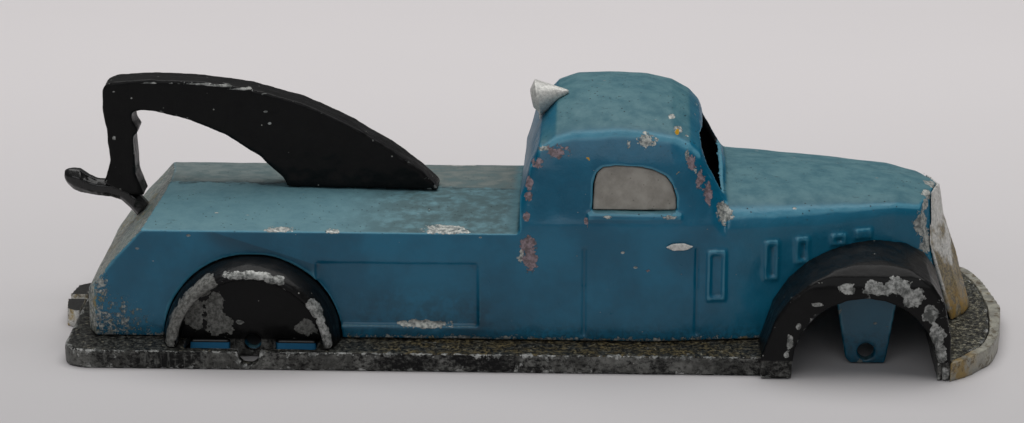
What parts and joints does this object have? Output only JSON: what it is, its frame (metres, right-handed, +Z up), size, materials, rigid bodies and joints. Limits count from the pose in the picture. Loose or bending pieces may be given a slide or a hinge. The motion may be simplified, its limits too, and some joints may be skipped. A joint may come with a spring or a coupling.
{
  "type": "toy tow truck",
  "caption": "Worn die-cast toy tow truck with a fixed crane jib, cross hook and roof lamp; the wheels and axles are missing.",
  "frame": {"origin": "middle of the truck's length and width, on the underside of the running boards", "axes": "+X to the front bumper, +Y to the truck's left side, +Z up"},
  "size_m": [0.119, 0.0448, 0.0327],
  "materials": {
    "blue_paint": "worn gloss",
    "black_paint": "worn semi-gloss",
    "silver_paint": "metallic",
    "aged_silver": "yellowed metallic",
    "window_paint": "dull grey"
  },
  "bodies": {
    "root": {"bed_shell": "blue_paint", "cab_shell": "blue_paint", "hood_shell": "blue_paint", "door_handle_right": "silver_paint", "door_handle_left": "silver_paint", "window_panel_right": "window_paint", "window_panel_left": "window_paint", "work_lamp": "silver_paint", "crane_jib": "black_paint", "tow_hook": "black_paint", "radiator_grille": "silver_paint", "front_bumper": "aged_silver", "front_apron": "black_paint", "front_fender_right": "black_paint", "front_fender_left": "black_paint", "running_board_plate": "black_paint", "tail_board_plate": "black_paint", "rear_skirt_right": "black_paint", "rear_skirt_left": "black_paint", "rear_wheel_arch_right": "black_paint", "rear_wheel_arch_left": "black_paint", "rear_tow_plate": "aged_silver", "front_axle_bracket": "blue_paint", "rear_axle_bracket": "blue_paint"}
  },
  "joints": []
}
